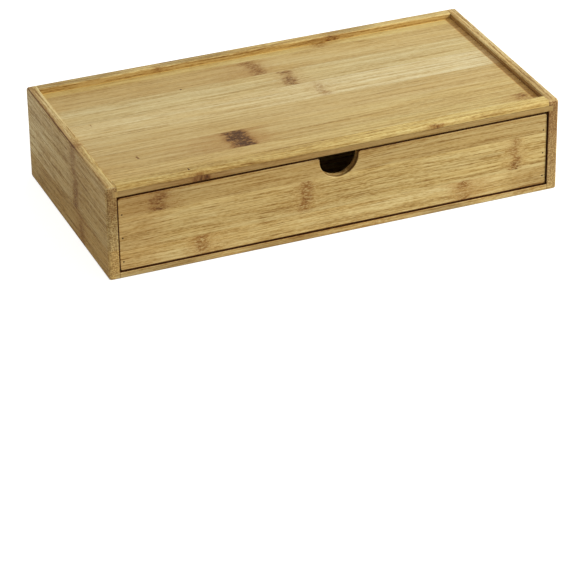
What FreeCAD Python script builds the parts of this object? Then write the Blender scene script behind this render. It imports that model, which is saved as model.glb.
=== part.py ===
import FreeCAD, Part
import os

# Tea bag drawer box: a low bamboo case with a tray top and one drawer, divided into
# compartments. Millimetres. +X is to the right and +Z up. The drawer front faces -Y. The
# origin lies on the surface that the box stands on, under the middle of the case.

# Case, outside
case_width = 335.0
case_depth = 170.0
case_height = 70.0

# Case boards and panels
side_board_thickness = 7.5
back_board_thickness = 7.5
top_panel_thickness = 4.0
bottom_panel_thickness = 4.5
tray_depth = 4.2            # from the rim down to the tray floor
lip_depth = 9.5             # front lip, front to back
housing_depth = 3.2         # how far the two panels are let into the boards

# Case edges, sanded after the case is glued up
lip_round = 3.0             # the lip's upper front edge
corner_round = 2.0          # upright corners
top_round = 1.2             # outer top edges of the sides and back
foot_round = 1.5
rim_round = 1.0
opening_round = 0.5

# Drawer, running clearances
drawer_side_gap = 0.9       # each side
drawer_head_gap = 1.8       # over the drawer front
drawer_toe_gap = 0.7        # under the drawer front
drawer_floor_gap = 0.3      # under the drawer sides
drawer_rear_gap = 0.6       # behind the drawer
drawer_setback = 1.2        # drawer front behind the face of the case

# Drawer, stock
drawer_front_thickness = 6.5
drawer_side_thickness = 5.0
drawer_back_thickness = 5.0
drawer_bottom_thickness = 3.0
drawer_side_drop = 5.5      # sides stand this far below the top of the front
drawer_bottom_lift = 3.0    # underside of the bottom above the lower edge of the sides
drawer_groove_depth = 2.5   # grooves and rabbets in the drawer's sides, front and back

# Drawer, edges
front_corner_round = 2.0
front_edge_round = 0.5
drawer_arris_round = 0.8    # top edges of the sides and back

# Finger notch
notch_radius = 14.4
notch_centre_drop = 2.2     # middle of the round below the top of the drawer front
notch_offset = 0.9          # to the right of the middle of the drawer
notch_shoulder_round = 2.0

# Dividers
divider_thickness = 3.0
divider_drop = 0.6          # below the lowest point of the finger notch
divider_end_gap = 0.3       # between a divider's end and the drawer's wall
lap_gap = 0.1               # each side, in the half laps
long_cells = 3              # compartments along the drawer's width
cross_dividers = ("cross_divider_left", "cross_divider_right")

# Brads, headless
brad_radius = 0.6
brad_length = 20.0
brad_set = 0.3              # driven this far below the face
brads_per_joint = 3
brad_edge_distance = 7.0    # first and last brad from the edges of the drawer side

# Places in the case
left, right = -case_width / 2, case_width / 2
front, back = -case_depth / 2, case_depth / 2
inside_left = left + side_board_thickness
inside_right = right - side_board_thickness
inside_back = back - back_board_thickness
tray_floor = case_height - tray_depth
opening_top = tray_floor - top_panel_thickness
opening_floor = bottom_panel_thickness
lip_back = front + lip_depth

# Places in the drawer
drawer_left = inside_left + drawer_side_gap
drawer_right = inside_right - drawer_side_gap
drawer_face = front + drawer_setback
front_inner = drawer_face + drawer_front_thickness
drawer_rear = inside_back - drawer_rear_gap
back_inner = drawer_rear - drawer_back_thickness
front_low = opening_floor + drawer_toe_gap
front_top = opening_top - drawer_head_gap
side_low = opening_floor + drawer_floor_gap
side_top = front_top - drawer_side_drop
bottom_under = side_low + drawer_bottom_lift
bottom_upper = bottom_under + drawer_bottom_thickness
cell_left = drawer_left + drawer_side_thickness
cell_right = drawer_right - drawer_side_thickness
notch_low = front_top - notch_centre_drop - notch_radius
divider_top = notch_low - divider_drop

beyond = 1.0                # how far a cutting block runs past the face that it opens
hair = 1e-4                 # tolerance for finding edges by their place


def block(x_span, y_span, z_span):
    """A box between three pairs of coordinates."""
    corner = FreeCAD.Vector(x_span[0], y_span[0], z_span[0])
    sizes = [span[1] - span[0] for span in (x_span, y_span, z_span)]
    return Part.makeBox(*sizes, corner)


def lies_on(edge, **places):
    """True where the whole edge lies at each given x, y or z."""
    box = edge.BoundBox
    spans = {"x": (box.XMin, box.XMax), "y": (box.YMin, box.YMax), "z": (box.ZMin, box.ZMax)}
    return all(
        abs(spans[axis][0] - place) < hair and abs(spans[axis][1] - place) < hair
        for axis, place in places.items()
    )


def rounded(shape, radius, chosen):
    """The shape with each chosen edge rounded."""
    return shape.makeFillet(radius, [edge for edge in shape.Edges if chosen(edge)])


def mirrored(shape):
    """The shape's twin on the other side of the middle of the case."""
    return shape.mirror(FreeCAD.Vector(0, 0, 0), FreeCAD.Vector(1, 0, 0))


# ---- Case ----

def sanded_case():
    """The glued-up case as one form: its outline, tray and drawer space, with rounded edges."""
    form = block((left, right), (front, back), (0, case_height))
    form = rounded(form, lip_round, lambda edge: lies_on(edge, y=front, z=case_height))
    form = rounded(form, corner_round, is_upright)
    form = rounded(form, top_round, lambda edge: lies_on(edge, z=case_height))
    form = rounded(form, foot_round, lambda edge: lies_on(edge, z=0))

    tray = block(
        (inside_left, inside_right), (lip_back, inside_back), (tray_floor, case_height + beyond)
    )
    form = rounded(form.cut(tray), rim_round, is_rim_edge)

    drawer_space = block(
        (inside_left, inside_right), (front - beyond, inside_back), (opening_floor, opening_top)
    )
    return rounded(form.cut(drawer_space), opening_round, is_opening_edge)


def is_upright(edge):
    """The four upright corners of the case."""
    corners = [(x, y) for x in (left, right) for y in (front, back)]
    return any(lies_on(edge, x=x, y=y) for x, y in corners)


def is_rim_edge(edge):
    """The upper edges of the tray's four walls."""
    walls = ({"x": inside_left}, {"x": inside_right}, {"y": lip_back}, {"y": inside_back})
    return any(lies_on(edge, z=case_height, **wall) for wall in walls)


def is_opening_edge(edge):
    """The four edges round the drawer opening."""
    walls = ({"x": inside_left}, {"x": inside_right}, {"z": opening_floor}, {"z": opening_top})
    return any(lies_on(edge, y=front, **wall) for wall in walls)


def panel_seat(thickness_span):
    """The space that a panel fills: between the boards, and let into them on three sides."""
    return block(
        (inside_left - housing_depth, inside_right + housing_depth),
        (front, inside_back + housing_depth),
        thickness_span,
    )


def top_panel_seat():
    return panel_seat((opening_top, tray_floor))


def bottom_panel_seat():
    return panel_seat((0, opening_floor))


def case_board(blank, case_form):
    """A board cut from its blank, with the seats of both panels cut out of it."""
    return blank.common(case_form).cut(top_panel_seat()).cut(bottom_panel_seat())


def make_right_side(case_form):
    blank = block((inside_right, right), (front, back), (0, case_height))
    return case_board(blank, case_form)


def make_back_board(case_form):
    blank = block((inside_left, inside_right), (inside_back, back), (0, case_height))
    return case_board(blank, case_form)


def make_front_lip(case_form):
    blank = block((inside_left, inside_right), (front, lip_back), (tray_floor, case_height))
    return blank.common(case_form)


def make_case():
    case_form = sanded_case()
    right_side = make_right_side(case_form)
    return {
        "left_side": mirrored(right_side),
        "right_side": right_side,
        "back_board": make_back_board(case_form),
        "top_panel": top_panel_seat().common(case_form),
        "front_lip": make_front_lip(case_form),
        "bottom_panel": bottom_panel_seat().common(case_form),
    }


# ---- Drawer ----

def drawer_bottom_seat():
    """The space of the drawer bottom, which is grooved into all four walls."""
    return block(
        (cell_left - drawer_groove_depth, cell_right + drawer_groove_depth),
        (front_inner - drawer_groove_depth, back_inner + drawer_groove_depth),
        (bottom_under, bottom_upper),
    )


def drawer_back_blank():
    """The drawer back, which runs into a rabbet at the rear end of each side."""
    return block(
        (cell_left - drawer_groove_depth, cell_right + drawer_groove_depth),
        (back_inner, drawer_rear),
        (side_low, side_top),
    )


def notch_space():
    """The finger notch: round below, with upright walls from its middle to the top."""
    through = (drawer_face - beyond, front_inner + beyond)
    middle = front_top - notch_centre_drop
    hollow = Part.makeCylinder(
        notch_radius,
        through[1] - through[0],
        FreeCAD.Vector(notch_offset, through[0], middle),
        FreeCAD.Vector(0, 1, 0),
    )
    throat = block(
        (notch_offset - notch_radius, notch_offset + notch_radius),
        through,
        (middle, front_top + beyond),
    )
    return hollow.fuse(throat)


def make_drawer_front(holes):
    """The drawer front: rounded corners, finger notch, eased edges, brad holes."""
    front_panel = block(
        (drawer_left, drawer_right), (drawer_face, front_inner), (front_low, front_top)
    )
    corners = [(x, z) for x in (drawer_left, drawer_right) for z in (front_low, front_top)]
    front_panel = rounded(
        front_panel,
        front_corner_round,
        lambda edge: any(lies_on(edge, x=x, z=z) for x, z in corners),
    )
    front_panel = front_panel.cut(notch_space())
    shoulders = (notch_offset - notch_radius, notch_offset + notch_radius)
    front_panel = rounded(
        front_panel,
        notch_shoulder_round,
        lambda edge: any(lies_on(edge, x=x, z=front_top) for x in shoulders),
    )
    front_panel = rounded(
        front_panel,
        front_edge_round,
        lambda edge: lies_on(edge, y=drawer_face) or lies_on(edge, y=front_inner),
    )
    return front_panel.cut(drawer_bottom_seat()).cut(holes)


def make_drawer_right_side(holes):
    blank = block((cell_right, drawer_right), (front_inner, drawer_rear), (side_low, side_top))
    blank = rounded(
        blank,
        drawer_arris_round,
        lambda edge: lies_on(edge, z=side_top, x=cell_right)
        or lies_on(edge, z=side_top, x=drawer_right),
    )
    return blank.cut(drawer_bottom_seat()).cut(drawer_back_blank()).cut(holes)


def make_drawer_back(holes):
    blank = rounded(
        drawer_back_blank(),
        drawer_arris_round,
        lambda edge: lies_on(edge, z=side_top, y=back_inner)
        or lies_on(edge, z=side_top, y=drawer_rear),
    )
    return blank.cut(drawer_bottom_seat()).cut(holes)


# ---- Brads ----

def brad(face_point, inward):
    """One brad, driven inward from a point on the face."""
    return Part.makeCylinder(brad_radius, brad_length, face_point + inward * brad_set, inward)


def brad_hole(face_point, inward):
    """The hole of a brad, which runs out through the face."""
    mouth = face_point - inward * beyond
    return Part.makeCylinder(brad_radius, beyond + brad_set + brad_length, mouth, inward)


def brad_heights():
    """Heights of the brads in a corner of the drawer, evenly spaced up its side."""
    lowest = side_low + brad_edge_distance
    highest = side_top - brad_edge_distance
    step = (highest - lowest) / (brads_per_joint - 1)
    return [lowest + step * index for index in range(brads_per_joint)]


def make_brads(places):
    """All brads at the given places, and all their holes."""
    brads = Part.makeCompound([brad(point, inward) for point, inward in places])
    holes = Part.makeCompound([brad_hole(point, inward) for point, inward in places])
    return brads, holes


def front_brad_places():
    """Through the drawer front, into the end grain of each side."""
    inset = drawer_side_thickness / 2
    return [
        (FreeCAD.Vector(x, drawer_face, z), FreeCAD.Vector(0, 1, 0))
        for x in (drawer_left + inset, drawer_right - inset)
        for z in brad_heights()
    ]


def rear_brad_places():
    """Through each side, into the end grain of the drawer back."""
    middle = (back_inner + drawer_rear) / 2
    return [
        (FreeCAD.Vector(x, middle, z), FreeCAD.Vector(inward, 0, 0))
        for x, inward in ((drawer_left, 1), (drawer_right, -1))
        for z in brad_heights()
    ]


# ---- Dividers ----

def cell_pitch():
    """Distance between the middles of neighbouring cross dividers."""
    return (cell_right - cell_left + divider_thickness) / long_cells


def cross_divider_place(index):
    """Middle of a cross divider, counted from the left."""
    return cell_left - divider_thickness / 2 + cell_pitch() * (index + 1)


def lap_height():
    """Level at which the two halves of every half lap meet."""
    return (bottom_upper + divider_top) / 2


def make_long_divider():
    """The divider along the drawer, slotted from above for each cross divider."""
    middle = (front_inner + back_inner) / 2
    half = divider_thickness / 2
    slat = block(
        (cell_left + divider_end_gap, cell_right - divider_end_gap),
        (middle - half, middle + half),
        (bottom_upper, divider_top),
    )
    for index in range(long_cells - 1):
        place = cross_divider_place(index)
        slot = block(
            (place - half - lap_gap, place + half + lap_gap),
            (middle - half - beyond, middle + half + beyond),
            (lap_height() - lap_gap, divider_top + beyond),
        )
        slat = slat.cut(slot)
    return slat


def make_cross_divider(index):
    """A divider across the drawer, slotted from below to drop over the long one."""
    middle = (front_inner + back_inner) / 2
    half = divider_thickness / 2
    place = cross_divider_place(index)
    slat = block(
        (place - half, place + half),
        (front_inner + divider_end_gap, back_inner - divider_end_gap),
        (bottom_upper, divider_top),
    )
    slot = block(
        (place - half - beyond, place + half + beyond),
        (middle - half - lap_gap, middle + half + lap_gap),
        (bottom_upper - beyond, lap_height() + lap_gap),
    )
    return slat.cut(slot)


def make_drawer():
    front_brads, front_holes = make_brads(front_brad_places())
    rear_brads, rear_holes = make_brads(rear_brad_places())
    holes = Part.makeCompound([front_holes, rear_holes])
    right_side = make_drawer_right_side(holes)
    nodes = {
        "drawer_front": make_drawer_front(front_holes),
        "drawer_left_side": mirrored(right_side),
        "drawer_right_side": right_side,
        "drawer_back": make_drawer_back(rear_holes),
        "drawer_bottom": drawer_bottom_seat(),
        "front_brads": front_brads,
        "rear_brads": rear_brads,
        "long_divider": make_long_divider(),
    }
    for index, name in enumerate(cross_dividers):
        nodes[name] = make_cross_divider(index)
    return nodes


os.makedirs("parts", exist_ok=True)
for name, shape in {**make_case(), **make_drawer()}.items():
    shape.exportStep(f"parts/{name}.step")
    print(name, len(shape.Solids), round(shape.Volume), shape.isValid())
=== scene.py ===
"""Looks, light and camera for the bamboo tea box with one drawer."""

import logging
import math
import random
from dataclasses import dataclass, field
from enum import Enum
from typing import Callable, ClassVar, NamedTuple, Sequence, Union

import bpy
from mathutils import Matrix, Vector

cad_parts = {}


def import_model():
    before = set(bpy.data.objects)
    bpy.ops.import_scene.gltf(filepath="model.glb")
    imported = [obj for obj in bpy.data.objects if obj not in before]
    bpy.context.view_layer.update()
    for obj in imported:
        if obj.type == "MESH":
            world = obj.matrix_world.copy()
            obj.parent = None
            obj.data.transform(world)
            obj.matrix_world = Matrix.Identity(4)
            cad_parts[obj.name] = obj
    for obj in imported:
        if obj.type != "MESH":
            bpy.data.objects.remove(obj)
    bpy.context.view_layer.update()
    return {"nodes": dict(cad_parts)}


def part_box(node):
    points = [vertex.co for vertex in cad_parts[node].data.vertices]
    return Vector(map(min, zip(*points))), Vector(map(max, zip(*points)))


LOG = logging.getLogger("tea_box")
MM = 0.001

Colour = tuple[float, float, float]
Triple = tuple[float, float, float]
Span = tuple[float, float]
Quad = tuple[float, float, float, float]
Socket = bpy.types.NodeSocket
Feed = Union[Socket, float, int, tuple]
Sockets = dict[str, Socket]
Feeds = dict[str, Feed]

FLOAT = "NodeSocketFloat"
VECTOR = "NodeSocketVector"
COLOUR = "NodeSocketColor"

X_AXIS = (1.0, 0.0, 0.0)
Y_AXIS = (0.0, 1.0, 0.0)
Z_AXIS = (0.0, 0.0, 1.0)
NO_TINT = (1.0, 1.0, 1.0)
ANYWHERE: Span = (-400.0, 400.0)


class GrainRun(Enum):
    """Which way a board's fibres run."""

    ACROSS_THE_BOX = X_AXIS
    FRONT_TO_BACK = Y_AXIS


class Lay(Enum):
    """How a board lies in the box."""

    FLAT = "flat"
    UPRIGHT = "upright"


# ---------------------------------------------------------------------------
# Node building
# ---------------------------------------------------------------------------


class Wiring:
    """Adds nodes to one node tree and links them."""

    def __init__(self, tree: bpy.types.NodeTree) -> None:
        """Keeps the tree that the nodes go into."""
        self.tree = tree

    def feed(self, socket: Socket, value: Feed) -> None:
        """Gives a socket its value, by a link or as a plain number or colour.

        Args:
            socket: the input to fill.
            value: another node's output, a number, a vector or a colour.
        """
        if isinstance(value, Socket):
            self.tree.links.new(value, socket)
        elif socket.type == "RGBA" and len(value) == 3:
            socket.default_value = (*value, 1.0)
        else:
            socket.default_value = value

    def node(self, kind: str, feeds: dict | None = None, **settings: object) -> bpy.types.Node:
        """Adds one node.

        Args:
            kind: Blender's name for the node type.
            feeds: the value of each input, by its name or place.
            **settings: the node's own properties.

        Returns:
            The new node.
        """
        made = self.tree.nodes.new(kind)
        for name, value in settings.items():
            setattr(made, name, value)
        for key, value in (feeds or {}).items():
            self.feed(made.inputs[key], value)
        return made

    def math(self, operation: str, *values: Feed) -> Socket:
        """Adds math nodes, as many as a chain of the operation takes.

        Args:
            operation: Blender's name for the operation.
            *values: its operands in order. More than two are taken from left to right.

        Returns:
            The result's socket.
        """
        made = self.node("ShaderNodeMath", dict(enumerate(values[:2])), operation=operation)
        if len(values) > 2:
            return self.math(operation, made.outputs[0], *values[2:])
        return made.outputs[0]

    def times(self, *values: Feed) -> Socket:
        """Returns the product of the values."""
        return self.math("MULTIPLY", *values)

    def plus(self, *values: Feed) -> Socket:
        """Returns the sum of the values."""
        return self.math("ADD", *values)

    def minus(self, *values: Feed) -> Socket:
        """Returns the first value less the second one."""
        return self.math("SUBTRACT", *values)

    def over(self, *values: Feed) -> Socket:
        """Returns the first value divided by the second one."""
        return self.math("DIVIDE", *values)

    def most(self, *values: Feed) -> Socket:
        """Returns the largest of the values."""
        return self.math("MAXIMUM", *values)

    def vector(self, operation: str, *values: Feed) -> Socket:
        """Adds a vector math node.

        Args:
            operation: Blender's name for the operation.
            *values: its operands in order; the last one of SCALE is a number.

        Returns:
            The result's socket, a number for a dot product.
        """
        feeds = dict(zip((0, "Scale") if operation == "SCALE" else (0, 1, 2), values))
        made = self.node("ShaderNodeVectorMath", feeds, operation=operation)
        return made.outputs["Value" if operation == "DOT_PRODUCT" else "Vector"]

    def split(self, value: Feed) -> tuple[Socket, ...]:
        """Returns the three numbers of a vector."""
        return tuple(self.node("ShaderNodeSeparateXYZ", {0: value}).outputs)

    def join(self, x: Feed, y: Feed, z: Feed) -> Socket:
        """Returns a vector made of three numbers."""
        return self.node("ShaderNodeCombineXYZ", {0: x, 1: y, 2: z}).outputs[0]

    def ramp(
        self, value: Feed, low: Feed, high: Feed, start: Feed = 0.0, end: Feed = 1.0,
        smooth: bool = True,
    ) -> Socket:
        """Maps a range onto another one and clamps it.

        Args:
            value: the number to map.
            low: where the range starts.
            high: where the range ends.
            start: the result at low.
            end: the result at high.
            smooth: whether the result eases in and out.

        Returns:
            The mapped number.
        """
        style = "SMOOTHSTEP" if smooth else "LINEAR"
        feeds = {"Value": value, "From Min": low, "From Max": high, "To Min": start, "To Max": end}
        return self.node("ShaderNodeMapRange", feeds, interpolation_type=style).outputs["Result"]

    def fall(self, value: Feed, low: Feed, high: Feed) -> Socket:
        """Returns 1 below a range and 0 above it."""
        return self.ramp(value, low, high, 1.0, 0.0)

    def mix(self, share: Feed, first: Feed, second: Feed, style: str = "MIX") -> Socket:
        """Mixes two colours.

        Args:
            share: how much of the second colour is taken.
            first: the colour at share 0.
            second: the colour at share 1.
            style: Blender's blend type.

        Returns:
            The mixed colour.
        """
        feeds = {0: share, 6: first, 7: second}
        return self.node("ShaderNodeMix", feeds, data_type="RGBA", blend_type=style).outputs[2]

    def tint(self, colour: Feed, tint: Feed, share: Feed = 1.0) -> Socket:
        """Returns a colour multiplied by another one, as far as the share goes."""
        return self.mix(share, colour, tint, "MULTIPLY")

    def choose(self, share: Feed, first: Feed, second: Feed) -> Socket:
        """Returns a vector between two others: the first at share 0, the second at share 1."""
        feeds = {0: share, 4: first, 5: second}
        return self.node("ShaderNodeMix", feeds, data_type="VECTOR").outputs[1]

    def steps(self, value: Feed, colours: Sequence[Colour]) -> Socket:
        """Adds a colour ramp with equal, sharply parted steps.

        Args:
            value: the place on the ramp, from 0 to 1.
            colours: the colour of each step.

        Returns:
            The colour.
        """
        made = self.node("ShaderNodeValToRGB", {"Fac": value})
        ramp = made.color_ramp
        ramp.interpolation = "CONSTANT"
        ramp.elements.remove(ramp.elements[-1])
        ramp.elements[0].color = (*colours[0], 1.0)
        for number, colour in enumerate(colours[1:], start=1):
            ramp.elements.new(number / len(colours)).color = (*colour, 1.0)
        return made.outputs["Color"]

    def noise(
        self, spot: Feed, scale: Feed, detail: float = 2.0, rough: float = 0.5, twist: float = 0.0
    ) -> Socket:
        """Adds a noise texture.

        Args:
            spot: the place where it is read.
            scale: its repeats per unit.
            detail: how many finer layers it has.
            rough: how strong those layers are.
            twist: how far it is distorted by itself.

        Returns:
            The noise, about 0.5 on average.
        """
        feeds = {"Vector": spot, "Scale": scale, "Detail": detail, "Roughness": rough, "Distortion": twist}
        return self.node("ShaderNodeTexNoise", feeds, noise_dimensions="3D").outputs[0]


class Effect(Wiring):
    """A shader node group with named sockets, built once and placed in many materials."""

    title: ClassVar[str] = "Effect"
    takes: ClassVar[dict[str, tuple]] = {}
    gives: ClassVar[dict[str, str]] = {}

    def __init__(self) -> None:
        """Makes the group with its sockets and its own nodes."""
        super().__init__(bpy.data.node_groups.new(self.title, "ShaderNodeTree"))
        for name, (kind, default) in self.takes.items():
            socket = self.tree.interface.new_socket(name, in_out="INPUT", socket_type=kind)
            if default is not None:
                socket.default_value = (*default, 1.0) if kind == COLOUR else default
        for name, kind in self.gives.items():
            self.tree.interface.new_socket(name, in_out="OUTPUT", socket_type=kind)
        self.entry = self.node("NodeGroupInput")
        leave = self.node("NodeGroupOutput")
        for name, value in self.wire().items():
            self.feed(leave.inputs[name], value)

    def __getitem__(self, name: str) -> Socket:
        """Returns one of the group's inputs."""
        return self.entry.outputs[name]

    def wire(self) -> Feeds:
        """Adds the group's own nodes.

        Returns:
            What feeds each of its outputs, by name.
        """
        raise NotImplementedError

    @classmethod
    def place(cls, wiring: Wiring, **feeds: Feed) -> Sockets:
        """Places the group in a material, and makes it first where it isn't there yet.

        Args:
            wiring: writes into the material.
            **feeds: its inputs, named as its sockets are, in lower case with underscores.

        Returns:
            The group's outputs by name.
        """
        tree = bpy.data.node_groups.get(cls.title) or cls().tree
        made = wiring.node("ShaderNodeGroup", node_tree=tree)
        for key, value in feeds.items():
            wiring.feed(made.inputs[key.replace("_", " ").title()], value)
        return {name: made.outputs[name] for name in cls.gives}


# ---------------------------------------------------------------------------
# Effects that the bamboo finishes share
# ---------------------------------------------------------------------------


class BoardAxes(Effect):
    """The place on a board in millimetres, along, across and through it, and how it faces."""

    title = "Board Axes"
    takes = {
        "Grain": (VECTOR, (1.0, 0.0, 0.0)),
        "Across": (VECTOR, (0.0, 1.0, 0.0)),
        "Through": (VECTOR, (0.0, 0.0, 1.0)),
    }
    gives = {"Spot": VECTOR, "Facing": VECTOR}

    def wire(self) -> Feeds:
        """Projects place and normal on the board's own axes.

        Returns:
            What feeds its outputs.
        """
        source = self.node("ShaderNodeTexCoord")
        place = self.vector("SCALE", source.outputs["Object"], 1.0 / MM)
        axes = [self[name] for name in self.takes]
        spot = self.join(*(self.vector("DOT_PRODUCT", place, axis) for axis in axes))
        facing = self.join(
            *(self.vector("DOT_PRODUCT", source.outputs["Normal"], axis) for axis in axes)
        )
        return {"Spot": spot, "Facing": self.vector("ABSOLUTE", facing)}


class Strips(Effect):
    """Strips glued edge to edge in plies: a tone for each strip, and the glue joints."""

    title = "Glued Strips"
    takes = {
        "Spot": (VECTOR, None),
        "Width": (FLOAT, 25.0),
        "First Joint": (FLOAT, 0.0),
        "Ply": (FLOAT, 2.5),
        "First Ply": (FLOAT, 0.0),
        "Seed": (FLOAT, 0.0),
    }
    gives = {"Tone": FLOAT, "Own Spot": VECTOR, "Joint": FLOAT, "Ply Joint": FLOAT}
    joint_width: ClassVar[float] = 0.42
    ply_joint_width: ClassVar[float] = 0.22
    scatter: ClassVar[Triple] = (900.0, 170.0, 90.0)
    fade_scale: ClassVar[float] = 0.02
    joint_core: ClassVar[float] = 0.1
    # Low and high of the ramp, and what it gives there.
    fading: ClassVar[Quad] = (0.38, 0.62, 0.1, 1.0)

    def line(self, steps: Feed, pitch: Feed, width: float) -> Socket:
        """Draws the joint lines between strips or plies.

        Args:
            steps: the place counted in strips or plies.
            pitch: the width of one in millimetres.
            width: the width of the line in millimetres.

        Returns:
            A mask that is 1 on the joints.
        """
        distance = self.times(self.math("PINGPONG", steps, 0.5), pitch)
        return self.fall(distance, self.joint_core * width, width)

    def wire(self) -> Feeds:
        """Counts strips and plies, and draws a tone and a shift for each.

        Returns:
            What feeds its outputs.
        """
        along, across, deep = self.split(self["Spot"])
        strips = self.over(self.minus(across, self["First Joint"]), self["Width"])
        plies = self.over(self.minus(deep, self["First Ply"]), self["Ply"])
        number = self.join(self.math("FLOOR", strips), self.math("FLOOR", plies), self["Seed"])
        draw = self.node("ShaderNodeTexWhiteNoise", {"Vector": number}, noise_dimensions="3D")
        shift = self.vector("MULTIPLY", draw.outputs["Color"], self.scatter)
        fade = self.noise(self.join(along, number, 0.0), self.fade_scale, 1.0)
        joint = self.line(strips, self["Width"], self.joint_width)
        return {
            "Tone": draw.outputs["Value"],
            "Own Spot": self.vector("ADD", self["Spot"], shift),
            "Joint": self.times(joint, self.ramp(fade, *self.fading)),
            "Ply Joint": self.line(plies, self["Ply"], self.ply_joint_width),
        }


class Weave(NamedTuple):
    """Stretched noise: its repeats per millimetre, its finer layers, and its range from 0 to 1."""

    along: float
    across: float
    detail: float = 1.0
    low: float = 0.25
    high: float = 0.75


class Fibres(Effect):
    """Soft bands, streaks, dark lines, hair-fine fibres, dashes and blooms along the grain."""

    title = "Bamboo Fibres"
    takes = {
        "Spot": (VECTOR, None), "Push": (FLOAT, 0.0), "Fine": (FLOAT, 1.0), "Short": (FLOAT, 1.0),
    }
    weaves: ClassVar[dict[str, Weave]] = {
        "Band": Weave(0.004, 0.16),
        "Streak": Weave(0.009, 0.62, 3.0),
        "Line": Weave(0.011, 1.1, 2.0, 0.54, 0.68),
        "Hair": Weave(0.05, 1.9, 2.0),
        "Dash": Weave(0.28, 1.3),
        "Bloom": Weave(0.014, 0.07, 2.0, 0.3, 0.7),
    }
    crowd: ClassVar[Weave] = Weave(0.008, 0.08, low=0.42, high=0.64)
    gives = dict.fromkeys(weaves, FLOAT)
    never_scaled: ClassVar[tuple[str, ...]] = ("Hair", "Dash")
    wander: ClassVar[float] = 2.4
    wander_scale: ClassVar[Triple] = (0.007, 0.03, 0.03)
    rough: ClassVar[float] = 0.6

    def wire(self) -> Feeds:
        """Reads stretched noise at several widths.

        Returns:
            What feeds its outputs.
        """
        drift = self.noise(self.vector("MULTIPLY", self["Spot"], self.wander_scale), 1.0, 1.0)
        offset = self.times(self.minus(drift, 0.5), 2.0 * self.wander)
        offset = self.plus(offset, self["Push"])
        plain = self.vector("ADD", self["Spot"], self.join(0.0, offset, offset))
        scaled = self.vector("MULTIPLY", plain, self.join(self["Short"], self["Fine"], self["Fine"]))

        def read(weave: Weave, source: Feed) -> Socket:
            """Reads one weave.

            Args:
                weave: how the noise is stretched.
                source: the place where it is read.

            Returns:
                The noise, spread over its range.
            """
            place = self.vector("MULTIPLY", source, (weave.along, weave.across, weave.across))
            noise = self.noise(place, 1.0, weave.detail, self.rough)
            return self.ramp(noise, weave.low, weave.high, smooth=False)

        crowd = read(self.crowd, scaled)
        results: Feeds = {}
        for name, weave in self.weaves.items():
            part = read(weave, plain if name in self.never_scaled else scaled)
            results[name] = self.times(part, crowd) if name == "Line" else part
        return results


# Place holds along, across and seed. Size holds half along, half across and smear. Force holds the
# strengths of column, halo and pits.
MARK_SOCKETS = {
    "Place": (VECTOR, (0.0, 0.0, 0.0)),
    "Size": (VECTOR, (6.0, 12.5, 0.0)),
    "Force": (VECTOR, (0.6, 0.3, 0.6)),
}


class MarkPicker(Effect):
    """Passes on one knuckle's values near that knuckle, and the other values elsewhere."""

    title = "Mark Picker"
    takes = {
        "Spot": (VECTOR, None),
        "Reach": (FLOAT, 90.0),
        **MARK_SOCKETS,
        "Other Place": (VECTOR, (9000.0, 0.0, 0.0)),
        "Other Size": (VECTOR, (6.0, 12.5, 0.0)),
        "Other Force": (VECTOR, (0.0, 0.0, 0.0)),
    }
    gives = dict.fromkeys(MARK_SOCKETS, VECTOR)
    strip_share: ClassVar[float] = 1.05

    def wire(self) -> Feeds:
        """Asks whether the spot lies in the knuckle's strip and within its reach.

        Returns:
            What feeds its outputs.
        """
        away = self.vector("ABSOLUTE", self.vector("SUBTRACT", self["Spot"], self["Place"]))
        along, across, _ = self.split(away)
        _, half, _ = self.split(self["Size"])
        beside = self.math("LESS_THAN", across, self.times(half, self.strip_share))
        near = self.times(beside, self.math("LESS_THAN", along, self["Reach"]))
        return {name: self.choose(near, self[f"Other {name}"], self[name]) for name in self.gives}


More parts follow.
